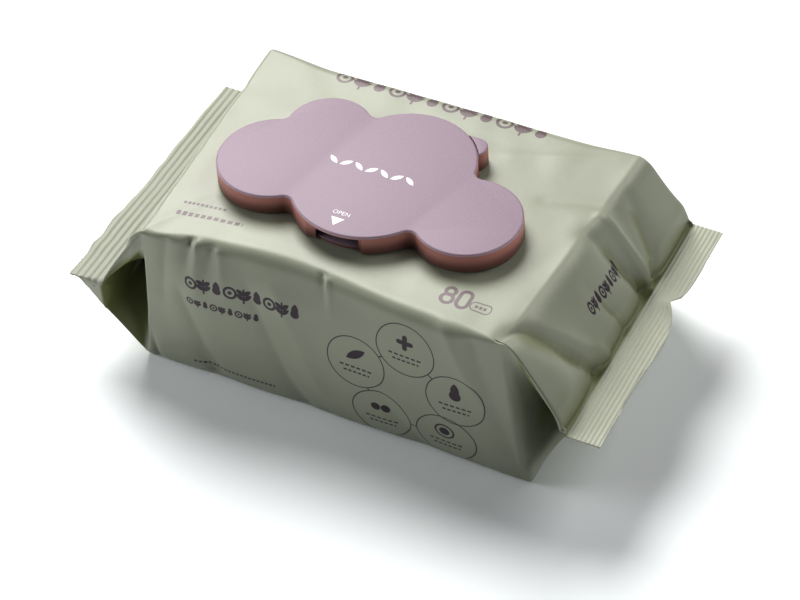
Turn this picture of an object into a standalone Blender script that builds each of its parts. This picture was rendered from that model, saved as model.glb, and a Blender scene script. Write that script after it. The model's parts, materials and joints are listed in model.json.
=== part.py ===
"""Wet wipes pack: a gusseted film pack with two crimped end fins, and a cloud-shaped flip lid on top.

Metres, +Z up. +X runs along the pack from fin to fin, and the long face below the lid's thumb notch faces -Y.
The origin is the centre of the bounding box's base, at the middle of the two fins' outer edges.
"""

import math

import bmesh
import bpy
from mathutils import Vector

# Film pack
PACK_LENGTH = 0.2076
BODY_LENGTH = 0.150
BODY_WIDTH = 0.106
BODY_HEIGHT = 0.065
BODY_CENTRE_X = -0.0016
FIN_LENGTH = 0.113
FIN_BAND = 0.0123
FIN_THICKNESS = 0.0009
FIN_HEIGHT = 0.0347
EDGE_RADIUS = 0.006
END_SOFTNESS = 0.005
GUSSET_CLOSE = 0.0012
FOLD_ROUNDING = 0.25
CORNER_STEPS = 4
TUCK_SHARES = (0.25, 0.5, 0.75)
BODY_STATIONS = (-0.25, 0.0, 0.25)
SHOULDER_STATIONS = (0.004, 0.002, 0.001, 0.0)
SLOPE_STATIONS = (0.07, 0.2, 0.4, 0.6, 0.8, 1.0)

# Gap between pieces that are glued or rest on each other
SEAT_GAP = 0.0003

# Cloud outline: lobe centres relative to the body's centre, and radii, anticlockwise from the right lobe
LOBES = (
    ((0.0352, -0.0085), 0.0196),
    ((0.0028, 0.0088), 0.0255),
    ((-0.0309, 0.0142), 0.0158),
    ((-0.0412, -0.0081), 0.0208),
    ((-0.0038, -0.0063), 0.0284),
)
VALLEY_RADIUS = 0.0035
ARC_STEP = math.radians(9)

# Lid
LID_TOP = 0.0734
LID_PLATE = 0.0014
SKIRT_WALL = 0.0015
SKIRT_GAP = 0.0004
RIM_ROUND = 0.0009
RIM_SEGMENTS = 2
NOTCH_LEFT = -0.0162
NOTCH_RIGHT = 0.0062
NOTCH_FACE = -0.0319

# Base frame
FRAME_PLATE = 0.0012
FRAME_INSET = 0.0025
FRAME_REAR = 0.0264
LIP_FACE = -0.0322
OPENING_CENTRE = (-0.0035, -0.0030)
OPENING_SIZE = (0.062, 0.032)
OPENING_RADIUS = 0.012
COLLAR_WALL = 0.0014
COLLAR_TOP = 0.0705
COLLAR_ROOT = 0.0002
BLOCK_LEFT = -0.0123
BLOCK_RIGHT = 0.0262
BLOCK_FRONT = 0.0210
BLOCK_BACK = 0.0303
BLOCK_TOP = 0.0714
BLOCK_RADIUS = 0.0042
EAR_TOP = 0.0729
EAR_GAP = 0.00035
FRAME_CUT_RIGHT = BLOCK_LEFT - 0.0015
SKIRT_CUT_LEFT = BLOCK_LEFT - 0.0012
SKIRT_CUT_RIGHT = BLOCK_RIGHT + 0.0030
SKIRT_CUT_FRONT = BLOCK_FRONT - 0.0005

# Hinge line, and the peel label on the film inside the opening
HINGE_Y = 0.0316
HINGE_Z = 0.0718
LABEL_SIZE = (0.056, 0.026)
LABEL_RADIUS = 0.009
LABEL_THICKNESS = 0.0004
TAB_RADIUS = 0.004
TAB_SETBACK = 0.0022

# Shading
RIM_ANGLE = math.radians(60)
SHARP_ANGLE = math.radians(35)
WELD_DISTANCE = 1e-6


def clear_scene():
    for obj in list(bpy.data.objects):
        bpy.data.objects.remove(obj, do_unlink=True)


def new_collection(name, hidden=False):
    collection = bpy.data.collections.new(name)
    bpy.context.scene.collection.children.link(collection)
    collection.hide_render = hidden
    return collection


def new_material(name, colour, roughness):
    material = bpy.data.materials.new(name)
    material.use_nodes = True
    shader = material.node_tree.nodes["Principled BSDF"]
    shader.inputs["Base Color"].default_value = (*colour, 1.0)
    shader.inputs["Roughness"].default_value = roughness
    shader.inputs["Metallic"].default_value = 0.0
    return material


# Outlines: lists of (x, y) relative to the body's centre


def arc(centre, radius, start, sweep, steps=None):
    steps = steps or max(2, round(abs(sweep) / ARC_STEP))
    angles = [start + sweep * step / steps for step in range(steps + 1)]
    return [(centre[0] + radius * math.cos(angle), centre[1] + radius * math.sin(angle)) for angle in angles]


def valley_centre(lobe_a, lobe_b, radius):
    """Centre of the circle that touches both lobes from outside, on the outer side of a to b."""
    (ax, ay), (bx, by) = lobe_a[0], lobe_b[0]
    reach_a = lobe_a[1] + radius
    reach_b = lobe_b[1] + radius
    span = math.dist(lobe_a[0], lobe_b[0])
    along = (span**2 + reach_a**2 - reach_b**2) / (2 * span)
    across = math.sqrt(reach_a**2 - along**2)
    ux, uy = (bx - ax) / span, (by - ay) / span
    return (ax + along * ux + across * uy, ay + along * uy - across * ux)


def direction(origin, target):
    return math.atan2(target[1] - origin[1], target[0] - origin[0])


def cloud_outline(inset=0.0):
    """The lobes as arcs, joined by small concave arcs, moved inwards by inset."""
    lobes = [(centre, radius - inset) for centre, radius in LOBES]
    valley = VALLEY_RADIUS + inset
    valleys = [valley_centre(lobe, lobes[(i + 1) % len(lobes)], valley) for i, lobe in enumerate(lobes)]
    outline = []
    for i, (centre, radius) in enumerate(lobes):
        following = lobes[(i + 1) % len(lobes)][0]
        start = direction(centre, valleys[i - 1])
        sweep = (direction(centre, valleys[i]) - start) % math.tau
        outline += arc(centre, radius, start, sweep)
        start = direction(valleys[i], centre)
        sweep = (start - direction(valleys[i], following)) % math.tau
        outline += arc(valleys[i], valley, start, -sweep)[1:-1]
    return outline


def rounded_rectangle(left, right, front, back, radius):
    corners = (
        ((right - radius, back - radius), 0.0),
        ((left + radius, back - radius), math.pi / 2),
        ((left + radius, front + radius), math.pi),
        ((right - radius, front + radius), 1.5 * math.pi),
    )
    outline = []
    for centre, start in corners:
        outline += arc(centre, radius, start, math.pi / 2)
    return outline


def opening_outline(inset):
    half_x = OPENING_SIZE[0] / 2 - inset
    half_y = OPENING_SIZE[1] / 2 - inset
    x, y = OPENING_CENTRE
    return rounded_rectangle(x - half_x, x + half_x, y - half_y, y + half_y, OPENING_RADIUS - inset)


# Solids


def prism(name, outline, bottom, top, collection):
    """A flat outline, given relative to the body's centre, as a closed mesh between two heights."""
    curve = bpy.data.curves.new(name, "CURVE")
    curve.dimensions = "2D"
    curve.fill_mode = "BOTH"
    curve.extrude = (top - bottom) / 2
    spline = curve.splines.new("POLY")
    spline.points.add(len(outline) - 1)
    for point, (x, y) in zip(spline.points, outline):
        point.co = (x + BODY_CENTRE_X, y, 0.0, 1.0)
    spline.use_cyclic_u = True
    guide = bpy.data.objects.new(name + "_outline", curve)
    guide.location.z = (top + bottom) / 2
    bpy.context.scene.collection.objects.link(guide)
    bpy.context.view_layer.update()
    graph = bpy.context.evaluated_depsgraph_get()
    mesh = bpy.data.meshes.new_from_object(guide.evaluated_get(graph))
    mesh.transform(guide.matrix_world)
    bpy.data.objects.remove(guide)
    welded = bmesh.new()
    welded.from_mesh(mesh)
    bmesh.ops.remove_doubles(welded, verts=welded.verts, dist=WELD_DISTANCE)
    bmesh.ops.recalc_face_normals(welded, faces=welded.faces)
    welded.to_mesh(mesh)
    welded.free()
    mesh.name = name
    solid = bpy.data.objects.new(name, mesh)
    collection.objects.link(solid)
    return solid


def box(name, left, right, front, back, bottom, top, collection):
    bpy.ops.mesh.primitive_cube_add(size=1.0)
    solid = bpy.context.active_object
    solid.name = name
    size = Vector((right - left, back - front, top - bottom))
    centre = Vector((left + right, front + back, bottom + top)) / 2
    for vertex in solid.data.vertices:
        vertex.co = Vector(a * b for a, b in zip(vertex.co, size)) + centre
        vertex.co.x += BODY_CENTRE_X
    for holder in list(solid.users_collection):
        holder.objects.unlink(solid)
    collection.objects.link(solid)
    return solid


def combine(solid, tool, operation, solver="EXACT"):
    modifier = solid.modifiers.new(tool.name, "BOOLEAN")
    modifier.operation = operation
    modifier.solver = solver
    modifier.object = tool
    tool.hide_render = True
    tool.display_type = "WIRE"


def round_rims(solid, width, segments):
    modifier = solid.modifiers.new("rounded rims", "BEVEL")
    modifier.width = width
    modifier.segments = segments
    modifier.limit_method = "ANGLE"
    modifier.angle_limit = RIM_ANGLE


def finish(solid, material):
    solid.data.materials.clear()
    solid.data.materials.append(material)
    solid.data.shade_smooth()
    solid.data.set_sharp_from_angle(angle=SHARP_ANGLE)


# Film pack


def soft_min(a, b, softness):
    overlap = max(softness - abs(a - b), 0.0) / softness
    return min(a, b) - overlap**2 * softness / 4


def section(x):
    """(y, z) ring of the pack at x: rounded corners, and side panels tucked in beyond the body's ends."""
    side = math.copysign(1.0, x - BODY_CENTRE_X)
    body_end = BODY_CENTRE_X + side * BODY_LENGTH / 2
    fin_inner = side * (PACK_LENGTH / 2 - FIN_BAND)
    run = abs(fin_inner - body_end)
    out = (x - body_end) * side
    upper = BODY_HEIGHT - FIN_HEIGHT
    lower = FIN_HEIGHT
    rise_top = soft_min(upper, upper - (upper - FIN_THICKNESS / 2) * out / run, END_SOFTNESS)
    rise_bottom = soft_min(lower, lower - (lower - FIN_THICKNESS / 2) * out / run, END_SOFTNESS)
    top = FIN_HEIGHT + max(rise_top, FIN_THICKNESS / 2)
    bottom = FIN_HEIGHT - max(rise_bottom, FIN_THICKNESS / 2)
    height = top - bottom
    spread = min(max(out / run, 0.0), 1.0)
    half_width = (BODY_WIDTH + (FIN_LENGTH - BODY_WIDTH) * spread) / 2
    closed = out > run - GUSSET_CLOSE / 2
    tuck = 0.0 if closed else math.sqrt(max(BODY_HEIGHT**2 - height**2, 0.0)) / 2
    radius = min(EDGE_RADIUS, FOLD_ROUNDING * height) if out > 0 else EDGE_RADIUS
    ring = arc((half_width - radius, bottom + radius), radius, -math.pi / 2, math.pi / 2, CORNER_STEPS)
    for share in TUCK_SHARES:
        depth = tuck * (1 - abs(2 * share - 1))
        ring.append((half_width - depth, bottom + radius + (height - 2 * radius) * share))
    ring += arc((half_width - radius, top - radius), radius, 0.0, math.pi / 2, CORNER_STEPS)
    return ring + [(-y, z) for y, z in reversed(ring)]


def stations():
    """x of each section, from the left fin's edge to the right fin's."""
    left_end = BODY_CENTRE_X - BODY_LENGTH / 2
    right_end = BODY_CENTRE_X + BODY_LENGTH / 2
    fin_inner = PACK_LENGTH / 2 - FIN_BAND
    places = [-PACK_LENGTH / 2, -fin_inner, fin_inner, PACK_LENGTH / 2]
    for end, side in ((left_end, -1), (right_end, 1)):
        for inward in SHOULDER_STATIONS:
            places.append(end - side * inward)
        last = fin_inner - GUSSET_CLOSE
        for share in SLOPE_STATIONS:
            places.append(end + (side * last - end) * share)
    places += [BODY_CENTRE_X + BODY_LENGTH * share for share in BODY_STATIONS]
    return sorted(places)


def make_wrapper(collection, material):
    shell = bmesh.new()
    rings = []
    for x in stations():
        rings.append([shell.verts.new((x, y, z)) for y, z in section(x)])
    for near, far in zip(rings, rings[1:]):
        for i in range(len(near)):
            j = (i + 1) % len(near)
            shell.faces.new((near[i], far[i], far[j], near[j]))
    shell.faces.new(rings[0])
    shell.faces.new(rings[-1])
    bmesh.ops.recalc_face_normals(shell, faces=shell.faces)
    mesh = bpy.data.meshes.new("wrapper")
    shell.to_mesh(mesh)
    shell.free()
    wrapper = bpy.data.objects.new("wrapper", mesh)
    collection.objects.link(wrapper)
    finish(wrapper, material)
    return wrapper


# Plastic pieces


def make_lid_base(collection, cutters, material):
    bottom = BODY_HEIGHT + SEAT_GAP
    plate_top = bottom + FRAME_PLATE
    base = prism("lid_base", cloud_outline(FRAME_INSET), bottom, plate_top, collection)
    reach = PACK_LENGTH / 2
    behind_left = box("frame_rear_cut", -reach, FRAME_CUT_RIGHT, FRAME_REAR, reach, 0.0, LID_TOP, cutters)
    combine(base, behind_left, "DIFFERENCE")
    before_lip = box("frame_lip_cut", -reach, reach, -reach, LIP_FACE, 0.0, LID_TOP, cutters)
    combine(base, before_lip, "DIFFERENCE")
    block = prism(
        "hinge_block",
        rounded_rectangle(BLOCK_LEFT, BLOCK_RIGHT, BLOCK_FRONT, BLOCK_BACK, BLOCK_RADIUS),
        bottom,
        EAR_TOP,
        cutters,
    )
    above_block = prism("lid_sweep", cloud_outline(-EAR_GAP), BLOCK_TOP, LID_TOP, cutters)
    combine(block, above_block, "DIFFERENCE")
    combine(base, block, "UNION")
    collar = prism("collar", opening_outline(-COLLAR_WALL), plate_top - COLLAR_ROOT, COLLAR_TOP, cutters)
    combine(base, collar, "UNION")
    opening = prism("opening", opening_outline(0.0), 0.0, LID_TOP, cutters)
    combine(base, opening, "DIFFERENCE")
    finish(base, material)
    return base


def make_lid(collection, cutters, material):
    ceiling = LID_TOP - LID_PLATE
    # The rounded rim leaves slivers that the exact solver drops, so the lid's cuts use the manifold one.
    lid = prism("lid", cloud_outline(), BODY_HEIGHT + SKIRT_GAP, LID_TOP, collection)
    round_rims(lid, RIM_ROUND, RIM_SEGMENTS)
    hollow = prism("lid_hollow", cloud_outline(SKIRT_WALL), 0.0, ceiling, cutters)
    combine(lid, hollow, "DIFFERENCE", "MANIFOLD")
    reach = PACK_LENGTH / 2
    notch = box("thumb_notch", NOTCH_LEFT, NOTCH_RIGHT, -reach, NOTCH_FACE, 0.0, ceiling, cutters)
    combine(lid, notch, "DIFFERENCE", "MANIFOLD")
    rear = box(
        "skirt_rear_cut", SKIRT_CUT_LEFT, SKIRT_CUT_RIGHT, SKIRT_CUT_FRONT, reach, 0.0, ceiling, cutters
    )
    combine(lid, rear, "DIFFERENCE", "MANIFOLD")
    finish(lid, material)
    return lid


def make_seal_label(collection, cutters, material):
    bottom = BODY_HEIGHT + SEAT_GAP
    x, y = OPENING_CENTRE
    half_x, half_y = LABEL_SIZE[0] / 2, LABEL_SIZE[1] / 2
    outline = rounded_rectangle(x - half_x, x + half_x, y - half_y, y + half_y, LABEL_RADIUS)
    label = prism("seal_label", outline, bottom, bottom + LABEL_THICKNESS, collection)
    tab_outline = arc((x, y - half_y + TAB_SETBACK), TAB_RADIUS, 0.0, math.tau)[:-1]
    tab = prism("pull_tab", tab_outline, bottom, bottom + LABEL_THICKNESS, cutters)
    combine(label, tab, "UNION")
    finish(label, material)
    return label


def hang_on_hinge(lid, collection):
    """An empty on the hinge line carries the lid."""
    hinge = bpy.data.objects.new("lid_hinge", None)
    hinge.location = (BODY_CENTRE_X, HINGE_Y, HINGE_Z)
    collection.objects.link(hinge)
    lid.parent = hinge
    lid.location = -hinge.location


def main():
    clear_scene()
    pack = new_collection("wet_wipes_pack")
    cutters = new_collection("cutters", hidden=True)
    film = new_material("film", (0.62, 0.64, 0.56), 0.38)
    plastic = new_material("lid plastic", (0.50, 0.39, 0.47), 0.45)
    paper = new_material("label", (0.82, 0.82, 0.80), 0.5)
    make_wrapper(pack, film)
    make_lid_base(pack, cutters, plastic)
    lid = make_lid(pack, cutters, plastic.copy())
    make_seal_label(pack, cutters, paper)
    hang_on_hinge(lid, pack)


main()
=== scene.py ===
"""Looks of a wet wipes pack: satin printed film, crimped fins, and a moulded cloud-shaped flip lid.

The file is laid out as an add-on and is run as a script. Sizes are in metres in the properties, and the film and
the lid are worked out in millimetres and scaled once, where their meshes are made.
"""

import json
import math

import bmesh
import bpy
import numpy as np
from mathutils import Matrix, Vector


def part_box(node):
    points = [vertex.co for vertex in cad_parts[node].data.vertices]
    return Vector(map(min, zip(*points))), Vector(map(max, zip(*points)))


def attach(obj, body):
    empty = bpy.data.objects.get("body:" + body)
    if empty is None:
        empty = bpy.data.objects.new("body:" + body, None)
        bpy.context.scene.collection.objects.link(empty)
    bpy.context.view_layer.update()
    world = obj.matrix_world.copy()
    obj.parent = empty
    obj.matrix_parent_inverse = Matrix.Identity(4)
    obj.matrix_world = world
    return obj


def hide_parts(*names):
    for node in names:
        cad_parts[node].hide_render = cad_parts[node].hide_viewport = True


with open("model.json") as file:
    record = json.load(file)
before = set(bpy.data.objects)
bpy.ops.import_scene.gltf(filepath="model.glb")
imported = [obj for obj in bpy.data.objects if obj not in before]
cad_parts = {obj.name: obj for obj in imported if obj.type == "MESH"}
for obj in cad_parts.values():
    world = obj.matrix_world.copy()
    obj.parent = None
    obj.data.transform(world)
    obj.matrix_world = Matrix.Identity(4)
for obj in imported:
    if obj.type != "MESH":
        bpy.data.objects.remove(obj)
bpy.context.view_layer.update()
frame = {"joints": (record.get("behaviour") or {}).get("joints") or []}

bl_info = {
    "name": "Wet wipes pack",
    "version": (1, 0, 0),
    "blender": (4, 5, 0),
    "location": "View3D > Sidebar > Wipes",
    "description": "Builds the film pack, its print, its flip lid and the studio around it",
    "category": "Object",
}

MM = 0.001
PACK_BODY = "pack"
LID_BODY = "lid"
HINGE = frame["joints"][0]


# Settings


def length(name, description, millimetres):
    return bpy.props.FloatProperty(
        name=name, description=description, default=millimetres * MM, unit="LENGTH", precision=4
    )


def colour(name, description, red, green, blue):
    return bpy.props.FloatVectorProperty(
        name=name, description=description, default=(red, green, blue), size=3, subtype="COLOR", min=0.0, max=1.0
    )


class WipesFilmSettings(bpy.types.PropertyGroup):
    """Sizes and colours of the film pack."""

    body_length: length("Body length", "Length of the stack inside the film", 150.0)
    body_width: length("Body width", "Width across the stack", 106.0)
    body_height: length("Body height", "Height of the stack", 65.0)
    body_shift: length("Body shift", "How far the stack's middle lies from the middle of the fins' edges", -1.6)
    fin_band: length("Fin band", "Width of the crimped band", 12.3)
    fin_length: length("Fin length", "Length of the fin across the pack", 113.0)
    fin_height: length("Fin height", "Height of the fin above the table", 34.7)
    fin_thickness: length("Fin thickness", "Thickness of the sealed layers", 0.7)
    left_rib: length("Left rib pitch", "Distance between the ribs of the left fin", 2.6)
    right_rib: length("Right rib pitch", "Distance between the ribs of the right fin", 1.6)
    rib_height: length("Rib height", "Height of the crimped ribs", 0.15)
    film_colour: colour("Film", "Printed ground colour of the film", 0.302, 0.315, 0.245)
    fin_colour: colour("Fin", "Colour of the film where it is crimped", 0.39, 0.40, 0.325)
    ink_colour: colour("Ink", "Dark print on the long face", 0.034, 0.016, 0.027)
    # Painted shade: this dark olive, laid deep inside the tucked ends and the right end's valleys, stands in for
    # shade.
    tuck_painted_shade: colour("Tuck", "Film deep inside the tucked ends", 0.165, 0.180, 0.060)
    pale_ink_colour: colour("Pale ink", "Faded print on the top", 0.125, 0.085, 0.090)


class WipesLidSettings(bpy.types.PropertyGroup):
    """Sizes and colours of the moulded lid and its base."""

    top: length("Lid top", "Height of the lid's top face above the table", 73.4)
    plate: length("Lid plate", "Thickness of the lid's top plate", 1.4)
    wall: length("Skirt wall", "Thickness of the lid's skirt", 1.5)
    rim: length("Rim radius", "Rounding of the lid's top rim", 0.8)
    plastic: colour("Plastic", "Colour of the moulded plastic", 0.298, 0.218, 0.272)
    # Painted shade: the skirt's redder, darker colour stands in for the shade on the lid's side wall.
    skirt_painted_shade: colour("Plastic side", "Colour of the polished skirt", 0.52, 0.235, 0.205)
    # Painted highlight: the lighter colour along the lid's top rim.
    rim_painted_highlight: colour("Rim", "Colour of the lid's thin bright rim", 0.52, 0.36, 0.40)
    mark: colour("Mark", "Colour of the printed mark on the lid", 0.92, 0.90, 0.91)
    label: colour("Label", "Colour of the peel label", 0.80, 0.81, 0.79)


class WipesStageSettings(bpy.types.PropertyGroup):
    """Camera, lights and floor."""

    azimuth: bpy.props.FloatProperty(name="Azimuth", description="Turn of the view", default=29.72)
    elevation: bpy.props.FloatProperty(name="Elevation", description="View down from level", default=44.90)
    roll: bpy.props.FloatProperty(name="Roll", description="Turn of the camera about its view", default=4.35)
    distance: length("Distance", "Camera to the aim point", 977.0)
    aim_right: length("Aim right", "Aim point's offset to the camera's right", 2.16)
    aim_up: length("Aim up", "Aim point's offset to the camera's top", -15.87)
    focal_length: bpy.props.FloatProperty(name="Focal length", description="Lens in millimetres", default=121.5)
    floor_colour: colour("Floor", "Pale floor", 0.92, 0.94, 0.95)


# Shader maths


class Value:
    """A number socket that takes part in expressions: each operator adds a Math node."""

    def __init__(self, finish, socket):
        self.finish = finish
        self.socket = socket

    def math(self, operation, *others):
        node = self.finish.node("ShaderNodeMath", {"operation": operation}, self, *others)
        return Value(self.finish, node.outputs[0])

    def reflected(self, operation, other):
        node = self.finish.node("ShaderNodeMath", {"operation": operation}, other, self)
        return Value(self.finish, node.outputs[0])

    def __add__(self, other):
        return self.math("ADD", other)

    __radd__ = __add__

    def __sub__(self, other):
        return self.math("SUBTRACT", other)

    def __rsub__(self, other):
        return self.reflected("SUBTRACT", other)

    def __mul__(self, other):
        return self.math("MULTIPLY", other)

    __rmul__ = __mul__

    def __truediv__(self, other):
        return self.math("DIVIDE", other)

    def __pow__(self, other):
        return self.math("POWER", other)

    def __neg__(self):
        return self * -1.0

    def least(self, other):
        return self.math("MINIMUM", other)

    def most(self, other):
        return self.math("MAXIMUM", other)

    def size(self):
        return self.math("ABSOLUTE")

    def wrap(self, low, high):
        return self.math("WRAP", high, low)

    def step(self, low, high):
        """0 below low, 1 above high, smooth between; low may be the larger."""
        node = self.finish.node(
            "ShaderNodeMapRange", {"interpolation_type": "SMOOTHSTEP"}, self, min(low, high), max(low, high)
        )
        result = Value(self.finish, node.outputs[0])
        return result if low < high else 1.0 - result


class Finish:
    """A node material in the making."""

    def __init__(self, name):
        self.material = bpy.data.materials.new(name)
        self.material.use_nodes = True
        self.tree = self.material.node_tree
        self.shader = self.tree.nodes["Principled BSDF"]

    def node(self, kind, settings=None, *inputs, **named):
        made = self.tree.nodes.new(kind)
        for key, value in (settings or {}).items():
            if key == "ramp":
                self.fill_ramp(made.color_ramp, value)
            else:
                setattr(made, key, value)
        for place, value in [*enumerate(inputs), *named.items()]:
            key = place if isinstance(place, int) else place.replace("_", " ")
            self.feed(made.inputs[key], value)
        return made

    def fill_ramp(self, ramp, stops):
        for stop, (place, shade) in zip((*ramp.elements, *(None,) * len(stops)), stops):
            element = stop or ramp.elements.new(place)
            element.position = place
            element.color = shade

    def feed(self, socket, value):
        if isinstance(value, Value):
            value = value.socket
        if isinstance(value, bpy.types.NodeSocket):
            self.tree.links.new(value, socket)
        elif socket.type == "RGBA":
            socket.default_value = (*value[:3], 1.0)
        else:
            socket.default_value = value

    def value(self, socket):
        return Value(self, socket)

    def place(self):
        """Object coordinates in millimetres, as three values."""
        coordinates = self.node("ShaderNodeTexCoord")
        return self.split(coordinates.outputs["Object"], 1.0 / MM)

    def film_place(self):
        """The film's own flat coordinates in millimetres: along the pack, and round its girth."""
        flat = self.node("ShaderNodeUVMap", {"uv_map": "film"})
        along, girth, _ = self.split(flat.outputs[0], 1000.0)
        return along, girth

    def split(self, vector, scale):
        parts = self.node("ShaderNodeSeparateXYZ", None, vector)
        return [self.value(output) * scale for output in parts.outputs]

    def join(self, *values):
        return self.node("ShaderNodeCombineXYZ", None, *values).outputs[0]

    def noise(self, vector, scale, detail=2.0, roughness=0.5):
        made = self.node(
            "ShaderNodeTexNoise", None, Vector=vector, Scale=scale, Detail=detail, Roughness=roughness
        )
        return self.value(made.outputs["Fac"])

    def mix(self, factor, first, second, blend="MIX"):
        made = self.node("ShaderNodeMix", {"data_type": "RGBA", "blend_type": blend})
        self.feed(made.inputs[0], factor)
        self.feed(made.inputs[6], first)
        self.feed(made.inputs[7], second)
        return made.outputs[2]

    def bump(self, height, distance, strength=1.0, normal=None):
        made = self.node("ShaderNodeBump", None, Height=height, Distance=distance, Strength=strength)
        if normal is not None:
            self.feed(made.inputs["Normal"], normal)
        return made.outputs[0]

    def set(self, **sockets):
        for name, value in sockets.items():
            self.feed(self.shader.inputs[name.replace("_", " ")], value)
        return self.material


# Flat shapes for the print, as distances in millimetres from their edge, negative inside


def ring_shape(x, y, centre, radius):
    return ((x - centre[0]) ** 2 + (y - centre[1]) ** 2) ** 0.5 - radius


def bar_shape(x, y, centre, half_length, half_height):
    """A bar with round ends."""
    reach = ((x - centre[0]).size() - (half_length - half_height)).most(0.0)
    return (reach**2 + (y - centre[1]) ** 2) ** 0.5 - half_height


def turned(x, y, centre, degrees):
    angle = math.radians(degrees)
    dx, dy = x - centre[0], y - centre[1]
    return dx * math.cos(angle) + dy * math.sin(angle), dy * math.cos(angle) - dx * math.sin(angle)


def leaf_shape(x, y, half_length, half_width):
    """A pointed leaf along x about the origin: where two circles overlap."""
    radius = (half_length**2 + half_width**2) / (2 * half_width)
    offset = radius - half_width
    return ((y.size() + offset) ** 2 + x**2) ** 0.5 - radius


def ink(distance, soft=0.12):
    """1 inside a shape, 0 outside."""
    return distance.step(soft, -soft)


def line_ink(distance, width, soft=0.12):
    return ink(distance.size() - width / 2, soft)


def link_ink(x, y, start, end, width):
    """A straight line between two points."""
    degrees = math.degrees(math.atan2(end[1] - start[1], end[0] - start[0]))
    middle = ((start[0] + end[0]) / 2, (start[1] + end[1]) / 2)
    along, across = turned(x, y, middle, degrees)
    return ink(bar_shape(along, across, (0.0, 0.0), math.dist(start, end) / 2, width / 2))


# Film surface


def smooth(low, high, values):
    share = np.clip((values - low) / (high - low), 0.0, 1.0)
    return share * share * (3 - 2 * share)


def soft_min(a, b, softness):
    overlap = np.maximum(softness - np.abs(a - b), 0.0) / softness
    return np.minimum(a, b) - overlap**2 * softness / 4


def value_noise(x, y, seed):
    """Smooth noise between -1 and 1 on a plane, from a hash of the grid points."""
    x0, y0 = np.floor(x), np.floor(y)
    fx, fy = x - x0, y - y0
    fx, fy = fx * fx * (3 - 2 * fx), fy * fy * (3 - 2 * fy)

    def corner(ix, iy):
        raw = np.sin(ix * 127.1 + iy * 311.7 + seed * 74.7) * 43758.5453
        return 2.0 * (raw - np.floor(raw)) - 1.0

    near = corner(x0, y0) * (1 - fx) + corner(x0 + 1, y0) * fx
    far = corner(x0, y0 + 1) * (1 - fx) + corner(x0 + 1, y0 + 1) * fx
    return near * (1 - fy) + far * fy


def crease(along, girth, start, end, width, depth, lean):
    """Height of a fold line with a crisp ridge, from start to end. Width and depth run from first to second."""
    sx, sg = start
    ex, eg = end
    span = math.hypot(ex - sx, eg - sg)
    ux, ug = (ex - sx) / span, (eg - sg) / span
    share = ((along - sx) * ux + (girth - sg) * ug) / span
    across = (girth - sg) * ux - (along - sx) * ug
    held = np.clip(share, 0.0, 1.0)
    wide = width[0] + (width[1] - width[0]) * held
    deep = depth[0] + (depth[1] - depth[0]) * held
    beyond = (share - held) * span
    fade = np.exp(-((beyond / np.maximum(wide, 1.0)) ** 2))
    profile = np.exp(0.2 - np.sqrt((1.7 * across / wide) ** 2 + 0.04))
    return deep * profile * fade * (1.0 + lean * np.clip(across / wide, -1.0, 1.0))


def dent(along, girth, centre, radii, depth, degrees=0.0):
    angle = math.radians(degrees)
    dx, dg = along - centre[0], girth - centre[1]
    a = (dx * math.cos(angle) + dg * math.sin(angle)) / radii[0]
    b = (dg * math.cos(angle) - dx * math.sin(angle)) / radii[1]
    return depth * np.exp(-(a * a + b * b))


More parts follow.
